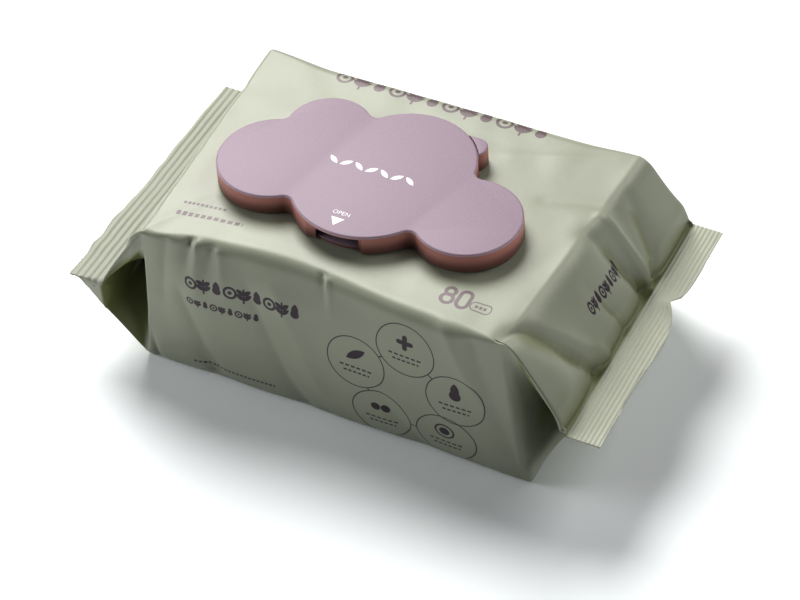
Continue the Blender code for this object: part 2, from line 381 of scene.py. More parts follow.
class FilmShape:
    """The film as a grid of points: stations along the pack by places round its girth.

    Along is a station's plain place on x. Girth runs from the middle of the top over the front edge to the middle
    of the underside, and the same way with a minus sign over the back.
    """

    TOP_ROUND = 5.0
    BOTTOM_ROUND = 3.0
    APEX_ROUND = 3.0
    CLOSE = 1.4
    # Girth, under the pack, where the lower film has come back to its plain run
    BOTTOM_REACH = 150.0
    # How far each corner of the stack lies from its plain place: left front, right front, left back, right back
    TOP_CORNERS = ((3.8, -1.0), (-4.6, 1.2), (-1.7, 1.0), (1.7, -0.5))
    BOTTOM_CORNERS = ((-2.2, 0.0), (3.2, -1.0), (-1.0, 0.0), (1.0, 0.0))
    SETTLE = 28.0
    # How far the front's top edge is drawn in, how far left of the middle, and over what length
    BOW, BOW_PLACE, BOW_SPREAD = 6.0, 18.0, 40.0

    def __init__(self, settings):
        scale = 1.0 / MM
        self.length = settings.body_length * scale
        self.width = settings.body_width * scale
        self.height = settings.body_height * scale
        self.shift = settings.body_shift * scale
        self.band = settings.fin_band * scale
        self.fin_length = settings.fin_length * scale
        self.fin_height = settings.fin_height * scale
        self.thickness = settings.fin_thickness * scale
        low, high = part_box("wrapper")
        self.edge = (high[0] - low[0]) / 2 * scale
        self.fin_inner = self.edge - self.band
        self.ends = (self.shift - self.length / 2, self.shift + self.length / 2)
        self.stations = self.make_stations()
        self.make_ring()
        self.base = self.bend_fins(self.warp_corners(self.surface()))
        self.points = self.base + self.normals(self.base) * self.relief()[..., None]

    def make_stations(self):
        left, right = self.ends
        pieces = (
            np.linspace(-self.edge, -self.fin_inner, 45),
            np.linspace(-self.fin_inner + 0.35, left - 0.5, 28),
            np.linspace(left, left + 6, 11),
            np.linspace(left + 7.2, right - 7.2, 118),
            np.linspace(right - 6, right, 11),
            np.linspace(right + 0.5, self.fin_inner - 0.35, 36),
            np.linspace(self.fin_inner, self.edge, 45),
        )
        return np.concatenate(pieces)

    def make_ring(self):
        """For each place round one half: which stretch it is on, how far along that stretch, and its girth."""
        half, tall = self.width / 2, self.height
        stretches = (
            (22, 0.0, half - 15.0),
            (15, half - 15.0, half - self.TOP_ROUND),
            (12, half - self.TOP_ROUND, half + self.TOP_ROUND),
            (8, half + self.TOP_ROUND, half + self.TOP_ROUND + 5.0),
            (16, half + self.TOP_ROUND + 5.0, half + tall / 2 - self.APEX_ROUND),
            (6, half + tall / 2 - self.APEX_ROUND, half + tall / 2 + self.APEX_ROUND),
            (18, half + tall / 2 + self.APEX_ROUND, half + tall - self.BOTTOM_ROUND),
            (8, half + tall - self.BOTTOM_ROUND, half + tall + self.BOTTOM_ROUND),
            (14, half + tall + self.BOTTOM_ROUND, tall + self.width),
        )
        stretch, share, girth = [], [], []
        for number, (steps, start, end) in enumerate(stretches):
            for step in range(steps):
                stretch.append(number)
                share.append(step / steps)
                girth.append(start + (end - start) * step / steps)
        stretch.append(len(stretches) - 1)
        share.append(1.0)
        girth.append(stretches[-1][2])
        front = len(stretch)
        self.stretch = np.array(stretch + stretch[-2:0:-1])
        self.share = np.array(share + share[-2:0:-1])
        self.girth = np.array(girth + [-g for g in girth[-2:0:-1]])
        self.side = np.array([-1.0] * front + [1.0] * (len(self.stretch) - front))

    def surface(self):
        """The plain gusseted form: flat panels, V-shaped tucks at both ends, folds of even roundness."""
        half, tall = self.width / 2, self.height
        along = self.stations[:, None] + 0.0 * self.girth[None, :]
        right = along > self.shift
        out = np.where(right, along - self.ends[1], self.ends[0] - along)
        run = np.where(right, self.fin_inner - self.ends[1], self.fin_inner + self.ends[0])
        share = np.clip(out / run, 0.0, 1.0)
        upper, lower = tall - self.fin_height, self.fin_height
        thin = self.thickness / 2
        shoulder = np.where(right, 5.0, 2.6)
        top = self.fin_height + np.maximum(soft_min(upper, upper - (upper - thin) * out / run, shoulder), thin)
        # Under the left fin's front end the lower film reaches out almost to the fin's edge
        front = (1.0 - smooth(half + tall, self.BOTTOM_REACH, np.abs(self.girth))) * (self.side < 0)
        low_run = run + np.where(right, 0.0, 0.72 * self.band) * front[None, :]
        bottom = self.fin_height - np.maximum(
            soft_min(lower, lower - (lower - thin) * out / low_run, shoulder * 0.5), thin
        )
        width = half + (self.fin_length / 2 - half) * share
        tall_here = top - bottom
        tuck = np.sqrt(np.maximum(tall**2 - tall_here**2, 0.0)) / 2
        tuck = tuck * np.clip((self.fin_inner - np.abs(along)) / self.CLOSE, 0.0, 1.0)
        folded = smooth(-4.0, 5.0, out)
        tight = smooth(-26.0, -1.0, out)
        wall = np.hypot(tuck, tall_here / 2)
        fold = np.where(right, 1.3, 2.2)
        top_round = np.minimum(self.TOP_ROUND + (fold - self.TOP_ROUND) * tight, 0.45 * wall)
        bottom_round = np.minimum(self.BOTTOM_ROUND + (1.5 - self.BOTTOM_ROUND) * folded, 0.45 * wall)
        apex_round = np.minimum(self.APEX_ROUND, 0.45 * wall)
        # Below the top fold the film hangs for a few millimetres before it turns in
        hang = np.where(right, 5.5, 8.0) * (1 - share) + 0.5
        knee_in = np.where(right, 1.0, -0.6) * folded * (1 - share)
        corner_top = np.stack([width, top], -1)
        apex = np.stack([width - tuck, (top + bottom) / 2], -1)
        corner_bottom = np.stack([width, bottom], -1)
        start = np.stack([0.0 * along, top], -1)
        finish = np.stack([0.0 * along, bottom], -1)

        def toward(origin, target, distance):
            step = target - origin
            size = np.maximum(np.linalg.norm(step, axis=-1, keepdims=True), 1e-9)
            return origin + step / size * np.broadcast_to(distance, along.shape)[..., None]

        knee_start = toward(corner_top, apex, top_round)
        straight = toward(corner_top, apex, top_round + 5.0)
        hanging = knee_start + np.stack([-knee_in, -np.minimum(hang, 0.3 * tall_here)], -1)
        knee = straight + (hanging - straight) * folded[..., None]
        shelf = toward(corner_top, start, np.maximum(top_round, 15.0))
        marks = (
            (start, None, shelf),
            (shelf, None, toward(corner_top, start, top_round)),
            (toward(corner_top, start, top_round), corner_top, knee_start),
            (knee_start, None, knee),
            (knee, None, toward(apex, corner_top, apex_round)),
            (toward(apex, corner_top, apex_round), apex, toward(apex, corner_bottom, apex_round)),
            (toward(apex, corner_bottom, apex_round), None, toward(corner_bottom, apex, bottom_round)),
            (
                toward(corner_bottom, apex, bottom_round),
                corner_bottom,
                toward(corner_bottom, finish, bottom_round),
            ),
            (toward(corner_bottom, finish, bottom_round), None, finish),
        )
        yz = np.zeros((*along.shape, 2))
        for number, (near, bend, far) in enumerate(marks):
            here = self.stretch == number
            t = self.share[None, :, None]
            bend = (near + far) / 2 if bend is None else bend
            curve = (1 - t) ** 2 * near + 2 * t * (1 - t) * bend + t**2 * far
            yz[:, here] = curve[:, here]
        return np.stack([along, yz[..., 0] * self.side[None, :], yz[..., 1]], -1)

    def warp_corners(self, points):
        """Shift the stack's corners, which are never quite square, and let that die away along the pack."""
        half = self.width / 2
        back = np.clip((points[..., 1] + half) / self.width, 0.0, 1.0)
        low = 1.0 - np.clip(points[..., 2] / self.height, 0.0, 1.0)
        moved = points.copy()
        for end, inner, (front_number, back_number) in (
            (self.ends[0], -self.fin_inner, (0, 2)),
            (self.ends[1], self.fin_inner, (1, 3)),
        ):
            along = self.stations[:, None]
            outward = np.sign(inner) * (along - end)
            run = abs(inner - end)
            weight = np.where(outward > 0, 1 - outward / run, 1 + outward / self.SETTLE)
            weight = np.clip(weight, 0.0, 1.0)
            weight = np.where(outward < 0, weight * weight * (3 - 2 * weight), weight)
            for axis in (0, 1):
                top = self.TOP_CORNERS[front_number][axis] * (1 - back) + self.TOP_CORNERS[back_number][axis] * back
                under = (
                    self.BOTTOM_CORNERS[front_number][axis] * (1 - back)
                    + self.BOTTOM_CORNERS[back_number][axis] * back
                )
                moved[..., axis] += weight * (top * (1 - low) + under * low)
        bow = np.exp(-(((points[..., 0] + self.BOW_PLACE) / self.BOW_SPREAD) ** 2))
        moved[..., 1] += self.BOW * bow * (1 - back) ** 2 * (1 - low) ** 1.5
        return moved

    def bend_fins(self, points):
        """Let the fins wave, and gather the right one where its panel is pinched."""
        along = points[..., 0]
        across = points[..., 1]
        outward = np.clip((np.abs(self.stations)[:, None] - self.fin_inner) / self.band, 0.0, 1.0)
        left = self.stations[:, None] < 0
        wave = value_noise(across / 13.0 + 5.0, np.where(left, 3.0, 9.0), 4.0)
        ripple = value_noise(across / 5.0 + 2.0, np.where(left, 1.0, 6.0), 5.0)
        moved = points.copy()
        moved[..., 2] += outward * (0.4 * wave + 0.2 * ripple)
        moved[..., 0] += np.sign(along) * outward * (0.2 * wave + 0.2 * ripple)
        skew = np.where(left, -1.8, -1.5) * across / self.fin_length
        moved[..., 0] += outward * skew * np.where(left, -1.0, 1.0)
        beside = np.abs(across - FIN_PINCH)
        gather = np.exp(-beside / 3.5) * ~left
        moved[..., 0] -= outward * 4.6 * gather
        moved[..., 0] += outward * 1.5 * np.exp(-(((across + 6.0) / 11.0) ** 2)) * ~left
        moved[..., 2] += outward * (1.6 * gather - 1.0 * np.exp(-(((across - 6.0) / 5.0) ** 2)) * ~left)
        return moved

    def normals(self, points):
        """Unit normals of the grid, pointing out of the pack."""
        along = np.gradient(points, axis=0)
        around = np.roll(points, -1, axis=1) - np.roll(points, 1, axis=1)
        normal = np.cross(around, along)
        return normal / np.maximum(np.linalg.norm(normal, axis=-1, keepdims=True), 1e-9)

    def relief(self):
        """How far the film stands off its plain folded form, in millimetres."""
        along = self.stations[:, None] + 0.0 * self.girth[None, :]
        girth = self.girth[None, :] + 0.0 * self.stations[:, None]
        half, tall = self.width / 2, self.height
        height = np.zeros_like(along)
        # Long faces swell a little over the soft stack
        face = smooth(half, half + 20, np.abs(girth)) * smooth(half + tall, half + tall - 20, np.abs(girth))
        height += 2.0 * face * smooth(self.length / 2 + 2, self.length / 2 - 30, np.abs(along - self.shift))
        waves = value_noise(along / 23.0 + 3.1, girth / 17.0 + 7.7, 1.0)
        waves += 0.45 * value_noise(along / 9.0 + 1.7, girth / 11.0 + 2.3, 2.0)
        height += 0.30 * waves * self.loose(along, girth)
        for start, end, width, depth, lean in FILM_CREASES:
            height += crease(along, girth, start, end, width, depth, lean)
        for centre, radii, depth, degrees in FILM_DENTS:
            height += dent(along, girth, centre, radii, depth, degrees)
        return height * self.free(along, girth)

    def loose(self, along, girth):
        """1 where the film is loose, 0 where the lid or the table holds it flat."""
        half, tall = self.width / 2, self.height
        lid = smooth(1.0, 1.25, np.hypot((along - self.shift + 3.5) / 60.0, girth / 36.0))
        table = smooth(half + tall + 3, half + tall - 6, np.abs(girth))
        return lid * table

    def free(self, along, girth):
        """0 in the fins and inside the tucked sides, 1 on the open panels."""
        half, tall = self.width / 2, self.height
        fin = smooth(self.fin_inner + 0.3, self.fin_inner - 1.0, np.abs(along))
        side_panel = smooth(half + 1, half + 5, np.abs(girth))
        side_panel = side_panel * smooth(half + tall - 1, half + tall - 5, np.abs(girth))
        beyond = smooth(self.length / 2 - 1.0, self.length / 2 + 2.0, np.abs(along - self.shift))
        table = smooth(half + tall + 2, half + tall - 2, np.abs(girth))
        return fin * (1 - side_panel * beyond) * table

    def edge_faces(self, row):
        """Faces that close a fin's edge, running across the pack between its upper and lower layers."""
        columns = len(self.girth)
        fold = (self.width + self.height) / 2
        front = int(np.argmin(np.abs(self.girth - fold)))
        back = int(np.argmin(np.abs(self.girth + fold)))
        upper = [*range(back, columns), *range(front + 1)]
        lower = [*range(back, front - 1, -1)]
        across = self.points[row, :, 1]
        faces = [(upper[0], upper[1], lower[1])]
        i = j = 1
        while i < len(upper) - 2 or j < len(lower) - 2:
            upper_next = i < len(upper) - 2 and across[upper[i + 1]] >= across[lower[j + 1]]
            if upper_next or j == len(lower) - 2:
                faces.append((upper[i], upper[i + 1], lower[j]))
                i += 1
            else:
                faces.append((upper[i], lower[j + 1], lower[j]))
                j += 1
        faces.append((upper[-2], upper[-1], lower[-2]))
        return [[row * columns + column for column in face] for face in faces]

    def mesh(self, name):
        """A closed mesh with smooth faces and the film's flat coordinates as its UV map."""
        rows, columns = self.points.shape[:2]
        mesh = bpy.data.meshes.new(name)
        index = np.arange(rows * columns).reshape(rows, columns)
        following = np.roll(index, -1, axis=1)
        quads = np.stack([index[:-1], index[1:], following[1:], following[:-1]], -1).reshape(-1, 4)
        faces = quads.tolist() + self.edge_faces(0) + self.edge_faces(rows - 1)
        mesh.from_pydata((self.points.reshape(-1, 3) * MM).tolist(), [], faces)
        made = bmesh.new()
        made.from_mesh(mesh)
        bmesh.ops.recalc_face_normals(made, faces=made.faces)
        made.to_mesh(mesh)
        made.free()
        flat = np.stack(np.broadcast_arrays(self.stations[:, None], self.girth[None, :]), -1).reshape(-1, 2)
        corners = np.zeros(len(mesh.loops), dtype=int)
        mesh.loops.foreach_get("vertex_index", corners)
        layer = mesh.uv_layers.new(name="film")
        layer.data.foreach_set("uv", (flat[corners] * MM).astype(np.float32).ravel())
        mesh.shade_smooth()
        return mesh


# Where the right fin is gathered, across the pack
FIN_PINCH = 15.6

# Fold lines of the film: start and end as (along, girth), widths and heights at each, and a sideways lean
FILM_CREASES = (
    # right end panel: front hem, valleys that run to the fin, the pinch and the ridge beside it
    ((69.5, 50.5), (90.5, 51.0), (1.4, 1.2), (-1.7, -1.5), 0.0),
    ((71.0, 45.0), (93.0, 21.5), (4.2, 2.0), (-1.7, -3.6), 0.3),
    ((76.0, 36.0), (91.0, 15.0), (3.0, 2.2), (0.6, 1.4), 0.0),
    ((88.0, 15.6), (91.4, 13.6), (1.2, 1.0), (-0.4, -1.2), 0.3),
    ((75.0, -8.5), (92.2, -15.8), (5.0, 2.2), (-1.5, -5.0), 0.0),
    ((74.0, -19.0), (91.6, -18.6), (3.0, 1.2), (1.3, 2.2), 0.0),
    ((77.0, -33.0), (91.8, -21.5), (4.6, 1.6), (-0.9, -2.6), 0.0),
    ((80.0, 8.0), (91.6, 2.0), (3.0, 1.6), (-0.4, -1.4), 0.0),
    ((91.0, -18.0), (91.0, -56.0), (1.3, 1.3), (-2.2, -1.8), 0.0),
    ((91.0, -16.0), (91.0, 20.0), (1.2, 1.2), (-1.6, -1.2), 0.0),
    ((90.8, 22.0), (90.8, 56.0), (1.6, 1.8), (-1.2, -1.2), 0.0),
    ((86.5, -26.0), (86.5, -54.0), (6.0, 6.0), (1.5, 1.3), 0.0),
    ((87.0, -8.0), (87.0, 16.0), (4.0, 4.0), (1.1, 0.9), 0.0),
    ((87.0, 28.0), (87.0, 50.0), (4.5, 4.5), (1.2, 0.6), 0.0),
    # front face: pleats that start at the top edge
    ((-55.0, 52.5), (-57.5, 66.0), (1.2, 4.5), (-2.0, -0.4), 0.4),
    ((-51.8, 54.0), (-54.0, 76.0), (2.2, 5.5), (1.5, 0.5), 0.0),
    ((-47.0, 55.0), (-50.0, 72.0), (2.0, 4.0), (-1.3, -0.3), 0.0),
    ((-43.6, 56.0), (-42.0, 74.0), (2.0, 5.0), (1.0, 0.3), 0.0),
    ((-66.0, 56.0), (-68.0, 80.0), (3.0, 4.5), (-0.8, -0.6), 0.0),
    ((-4.0, 52.5), (-2.0, 62.0), (1.2, 2.4), (-1.3, -0.3), 0.0),
    ((-1.6, 53.5), (0.6, 66.0), (1.4, 3.0), (1.2, 0.3), 0.0),
    ((-31.0, 72.0), (-14.6, 116.0), (6.0, 8.0), (-1.1, -1.8), 0.0),
    ((-20.0, 70.0), (-6.0, 100.0), (6.0, 8.0), (0.6, 0.8), 0.0),
    ((-60.0, 80.0), (-47.0, 117.0), (5.0, 7.0), (-0.8, -1.5), 0.0),
    ((46.0, 56.0), (62.0, 90.0), (5.0, 8.0), (0.9, 1.1), 0.0),
    ((58.0, 60.0), (70.0, 112.0), (5.0, 7.0), (-0.8, -1.4), 0.0),
    ((20.0, 96.0), (34.0, 117.0), (5.0, 7.0), (-0.5, -1.2), 0.0),
    # front face: nips at the bottom edge
    ((-72.5, 118.0), (-74.0, 104.0), (1.5, 3.0), (-1.7, -0.4), 0.0),
    ((-50.5, 118.0), (-54.0, 106.0), (1.6, 3.5), (-1.7, -0.4), 0.0),
    ((-46.0, 118.0), (-45.0, 110.0), (1.5, 3.0), (0.6, 0.1), 0.0),
    ((-12.0, 118.0), (-14.0, 111.0), (1.6, 3.0), (-0.8, -0.2), 0.0),
    ((-4.0, 118.0), (-3.0, 112.0), (1.6, 3.0), (-0.8, -0.1), 0.0),
    # left end panel and the top
    ((-79.0, 40.0), (-91.0, 34.0), (3.0, 2.0), (-0.5, -0.9), 0.0),
    ((-79.0, 6.0), (-91.0, 12.0), (4.0, 2.4), (-0.5, -1.0), 0.0),
    ((-79.0, -30.0), (-91.0, -26.0), (4.0, 2.4), (-0.5, -0.9), 0.0),
    ((30.0, -34.0), (64.0, -46.0), (4.0, 6.0), (0.4, 0.3), 0.0),
    ((52.0, -18.0), (72.0, -24.0), (4.0, 6.0), (-0.4, -0.6), 0.0),
    ((-58.0, 30.0), (-74.0, 46.0), (3.0, 5.0), (0.4, 0.4), 0.0),
)

# Dents and swellings of the film: centre, radii, height and turn
FILM_DENTS = (
    ((83.0, 41.0), (7.0, 6.0), 1.6, 30.0),
    ((80.0, 4.0), (8.0, 13.0), 0.8, 0.0),
    ((84.0, -36.0), (7.0, 9.0), 1.0, 0.0),
    ((70.2, 52.6), (1.6, 1.6), -1.6, 0.0),
    ((-78.6, 53.0), (2.2, 3.0), 2.2, 0.0),
)


def crimp_tree():
    """Geometry nodes that press ribs into the fins and cut their outer edge to small teeth."""
    tree = bpy.data.node_groups.new("crimped fins", "GeometryNodeTree")
    interface = tree.interface
    interface.new_socket("Geometry", in_out="INPUT", socket_type="NodeSocketGeometry")
    sizes = ("Inner Edge", "Left Pitch", "Right Pitch", "Rib Height", "Tooth Pitch", "Tooth Depth")
    for name in sizes:
        socket = interface.new_socket(name, in_out="INPUT", socket_type="NodeSocketFloat")
        socket.subtype = "DISTANCE"
    interface.new_socket("Material", in_out="INPUT", socket_type="NodeSocketMaterial")
    interface.new_socket("Geometry", in_out="OUTPUT", socket_type="NodeSocketGeometry")
    entry = tree.nodes.new("NodeGroupInput")
    leave = tree.nodes.new("NodeGroupOutput")

    def add(kind, operation=None, *inputs):
        node = tree.nodes.new(kind)
        if operation:
            node.operation = operation
        for socket, value in zip(node.inputs, inputs):
            if isinstance(value, bpy.types.NodeSocket):
                tree.links.new(value, socket)
            elif value is not None:
                socket.default_value = value
        return node.outputs[0]

    def maths(operation, *inputs):
        return add("ShaderNodeMath", operation, *inputs)

    position = add("GeometryNodeInputPosition")
    parts = tree.nodes.new("ShaderNodeSeparateXYZ")
    tree.links.new(position, parts.inputs[0])
    x, y = parts.outputs[0], parts.outputs[1]
    reach = maths("ABSOLUTE", x)
    inside = maths("SUBTRACT", reach, entry.outputs["Inner Edge"])
    on_right = maths("GREATER_THAN", x, 0.0)
    pitch = maths(
        "ADD",
        maths("MULTIPLY", on_right, entry.outputs["Right Pitch"]),
        maths("MULTIPLY", maths("SUBTRACT", 1.0, on_right), entry.outputs["Left Pitch"]),
    )
    turns = maths("DIVIDE", inside, pitch)
    wave = maths("SINE", maths("MULTIPLY", turns, math.tau))
    ramp_in = maths("MINIMUM", maths("MAXIMUM", maths("DIVIDE", inside, 0.4 * MM), 0.0), 1.0)
    rise = maths("MULTIPLY", maths("MULTIPLY", wave, ramp_in), entry.outputs["Rib Height"])
    teeth = maths("PINGPONG", y, maths("DIVIDE", entry.outputs["Tooth Pitch"], 2.0))
    tooth_share = maths("DIVIDE", teeth, maths("DIVIDE", entry.outputs["Tooth Pitch"], 2.0))
    outer = maths("MAXIMUM", maths("SUBTRACT", turns, 0.0), 0.0)
    at_edge = maths("GREATER_THAN", inside, maths("SUBTRACT", 12.25 * MM, 0.0))
    bite = maths("MULTIPLY", maths("MULTIPLY", tooth_share, entry.outputs["Tooth Depth"]), at_edge)
    sign = maths("SIGN", x)
    shift_x = maths("MULTIPLY", maths("MULTIPLY", bite, sign), -1.0)
    tree.nodes.remove(outer.node)
    combine = tree.nodes.new("ShaderNodeCombineXYZ")
    tree.links.new(shift_x, combine.inputs[0])
    tree.links.new(rise, combine.inputs[2])
    move = tree.nodes.new("GeometryNodeSetPosition")
    tree.links.new(entry.outputs["Geometry"], move.inputs["Geometry"])
    tree.links.new(combine.outputs[0], move.inputs["Offset"])
    realize = tree.nodes.new("GeometryNodeRealizeInstances")
    tree.links.new(move.outputs[0], realize.inputs[0])
    finish = tree.nodes.new("GeometryNodeSetMaterial")
    tree.links.new(realize.outputs[0], finish.inputs["Geometry"])
    tree.links.new(entry.outputs["Material"], finish.inputs["Material"])
    tree.links.new(finish.outputs[0], leave.inputs[0])
    return tree


def run_nodes(mesh, tree, values, name):
    """The plain mesh object that the tree makes from a mesh, with its inputs set by name."""
    carrier = bpy.data.objects.new(name, mesh)
    bpy.context.scene.collection.objects.link(carrier)
    modifier = carrier.modifiers.new("nodes", "NODES")
    modifier.node_group = tree
    for item in tree.interface.items_tree:
        if item.in_out == "INPUT" and item.name in values:
            modifier[item.identifier] = values[item.name]
    bpy.context.view_layer.update()
    graph = bpy.context.evaluated_depsgraph_get()
    made = bpy.data.meshes.new_from_object(carrier.evaluated_get(graph))
    carrier.modifiers.remove(modifier)
    carrier.data = made
    made.name = name
    return carrier


# Cloud outline, in millimetres about the stack's middle: lobe centres and radii, anticlockwise from the right lobe
LOBES = (
    ((35.2, -8.5), 19.6),
    ((2.8, 8.8), 25.5),
    ((-30.9, 14.2), 15.8),
    ((-41.2, -8.1), 20.8),
    ((-3.8, -6.3), 28.4),
)
VALLEY_RADIUS = 3.5
OPENING = ((-3.5, -3.0), (62.0, 32.0), 12.0)


def arc_points(centre, radius, start, sweep, steps):
    return [
        (
            centre[0] + radius * math.cos(start + sweep * step / steps),
            centre[1] + radius * math.sin(start + sweep * step / steps),
        )
        for step in range(steps + 1)
    ]


def valley_centre(lobe_a, lobe_b, radius):
    (ax, ay), (bx, by) = lobe_a[0], lobe_b[0]
    reach_a, reach_b = lobe_a[1] + radius, lobe_b[1] + radius
    span = math.dist(lobe_a[0], lobe_b[0])
    along = (span**2 + reach_a**2 - reach_b**2) / (2 * span)
    across = math.sqrt(reach_a**2 - along**2)
    ux, uy = (bx - ax) / span, (by - ay) / span
    return (ax + along * ux + across * uy, ay + along * uy - across * ux)


def direction(origin, target):
    return math.atan2(target[1] - origin[1], target[0] - origin[0])


def cloud_outline(inset=0.0):
    """The lobes as arcs joined by small hollow arcs, moved inwards by inset, with the same count of points for any."""
    lobes = [(centre, radius - inset) for centre, radius in LOBES]
    valley = VALLEY_RADIUS + inset
    valleys = [valley_centre(lobe, lobes[(i + 1) % len(lobes)], valley) for i, lobe in enumerate(lobes)]
    outline = []
    for i, (centre, radius) in enumerate(lobes):
        following = lobes[(i + 1) % len(lobes)][0]
        start = direction(centre, valleys[i - 1])
        sweep = (direction(centre, valleys[i]) - start) % math.tau
        outline += arc_points(centre, radius, start, sweep, 70)
        start = direction(valleys[i], centre)
        sweep = (start - direction(valleys[i], following)) % math.tau
        outline += arc_points(valleys[i], valley, start, -sweep, 16)[1:-1]
    return outline


def rounded_rectangle(left, right, front, back, radius, steps=14):
    corners = (
        ((right - radius, back - radius), 0.0),
        ((left + radius, back - radius), math.pi / 2),
        ((left + radius, front + radius), math.pi),
        ((right - radius, front + radius), 1.5 * math.pi),
    )
    outline = []
    for centre, start in corners:
        outline += arc_points(centre, radius, start, math.pi / 2, steps)
    return outline


def opening_outline(inset=0.0):
    (x, y), (across, deep), radius = OPENING
    half_x, half_y = across / 2 - inset, deep / 2 - inset
    return rounded_rectangle(x - half_x, x + half_x, y - half_y, y + half_y, radius - inset)


def skin(name, rings, shift, closed_ends=True):
    """A mesh through rings of (outline, height), in millimetres about the stack's middle."""
    made = bmesh.new()
    loops = []
    for outline, height in rings:
        loops.append([made.verts.new(((x + shift) * MM, y * MM, height * MM)) for x, y in outline])
    pairs = list(zip(loops, loops[1:]))
    if not closed_ends:
        pairs.append((loops[-1], loops[0]))
    for near, far in pairs:
        for i in range(len(near)):
            j = (i + 1) % len(near)
            made.faces.new((near[i], near[j], far[j], far[i]))
    if closed_ends:
        made.faces.new(loops[0])
        made.faces.new(loops[-1])
    bmesh.ops.recalc_face_normals(made, faces=made.faces)
    mesh = bpy.data.meshes.new(name)
    made.to_mesh(mesh)
    made.free()
    piece = bpy.data.objects.new(name, mesh)
    bpy.context.scene.collection.objects.link(piece)
    return piece


def rounded_rings(outline, low, high, low_round, high_round, steps=5):
    """Rings of a plate between two heights, its rims rounded by insetting the outline."""
    rings = []
    if low_round:
        for step in range(steps):
            angle = math.pi / 2 * step / steps
            rings.append((outline(low_round * (1 - math.sin(angle))), low + low_round * (1 - math.cos(angle))))
        rings.append((outline(0.0), low + low_round))
    else:
        rings.append((outline(0.0), low))
    if high_round:
        for step in range(steps + 1):
            angle = math.pi / 2 * step / steps
            rings.append((outline(high_round * (1 - math.cos(angle))), high - high_round * (1 - math.sin(angle))))
    else:
        rings.append((outline(0.0), high))
    return rings


def block(name, left, right, front, back, low, high, shift):
    outline = [(right, front), (right, back), (left, back), (left, front)]
    return skin(name, [(outline, low), (outline, high)], shift)


def cut(piece, tool, operation="DIFFERENCE", solver="EXACT"):
    """A Boolean with the tool, applied at once; the tool is then removed."""
    modifier = piece.modifiers.new("cut", "BOOLEAN")
    modifier.operation = operation
    modifier.solver = solver
    modifier.object = tool
    bpy.context.view_layer.update()
    graph = bpy.context.evaluated_depsgraph_get()
    mesh = bpy.data.meshes.new_from_object(piece.evaluated_get(graph))
    piece.modifiers.remove(modifier)
    old = piece.data
    piece.data = mesh
    mesh.name = piece.name
    bpy.data.meshes.remove(old)
    bpy.data.objects.remove(tool)
    if not mesh.polygons:
        raise RuntimeError(f"{piece.name}: the cut left nothing")


def soften(piece, degrees=30.0):
    piece.data.shade_smooth()
    piece.data.set_sharp_from_angle(angle=math.radians(degrees))


def wear(piece, material):
    piece.data.materials.clear()
    piece.data.materials.append(material)


# Finishes


def film_finish(settings):
    """Satin printed film: soft mottling, faint grain, print as plain shapes, painted shade deep in the tucked ends and
    valleys, and fins painted darker on the left and lighter on the right for the light.
    """
    finish = Finish("printed film")
    x, y, z = finish.place()
    along, girth = finish.film_place()
    place = finish.join(x, y, z)
    cloudy = finish.noise(place, 0.045, 3.0)
    fine = finish.noise(place, 2.2, 3.0)
    ground = finish.mix(
        cloudy.step(0.35, 0.7),
        settings.film_colour,
        tuple(channel * 1.05 for channel in settings.film_colour),
    )
    fin_mask = x.size().step(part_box("wrapper")[1][0] * 1000 - settings.fin_band * 1000 - 0.4, 92.4)
    # The left fin is painted darker and the right fin lighter: painted shade and painted light for how the light falls
    # on them.
    left_fin_painted_shade = tuple(channel * 0.90 for channel in settings.fin_colour)
    right_fin_painted_light = tuple(channel * 1.10 for channel in settings.fin_colour)
    ground = finish.mix(fin_mask, ground, finish.mix(x.step(-10.0, 10.0), left_fin_painted_shade, right_fin_painted_light))
    # Painted shade deep in the tucked ends, along the right end's hem, fin edge, pinch and valleys.
    ground = finish.mix(painted_tuck_shade(settings, along, girth), ground, settings.tuck_painted_shade)
    ground = finish.mix(dark_print(along, girth), ground, settings.ink_colour)
    ground = finish.mix(pale_print(along, girth), ground, settings.pale_ink_colour)
    roughness = 0.42 + (fine - 0.5) * 0.10 + (cloudy - 0.5) * 0.08 + fin_mask * 0.12
    bump = finish.bump(fine * 0.6 + finish.noise(place, 0.5, 2.0) * 3.0, 0.00002, 0.5)
    return finish.set(Base_Color=ground, Roughness=roughness, Specular_IOR_Level=0.5, Normal=bump)


# Painted shade in the valleys of the right end panel: start and end as (along, girth), and half width
VALLEYS = (
    ((75.0, 42.0), (91.5, 23.0), 3.4),
    ((79.0, -30.0), (91.5, -20.5), 2.8),
    ((79.0, -10.0), (91.8, -15.6), 3.4),
    ((84.0, 6.0), (91.5, 2.0), 1.8),
)


def painted_valley_shade(along, girth):
    """Painted shade: 1 along the floors of the valleys, falling softly to 0 at their sides."""
    shade = None
    for start, end, width in VALLEYS:
        degrees = math.degrees(math.atan2(end[1] - start[1], end[0] - start[0]))
        middle = ((start[0] + end[0]) / 2, (start[1] + end[1]) / 2)
        x, y = turned(along, girth, middle, degrees)
        band = bar_shape(x, y, (0.0, 0.0), math.dist(start, end) / 2 + width, width).step(0.0, -width)
        shade = band if shade is None else shade.most(band)
    return shade


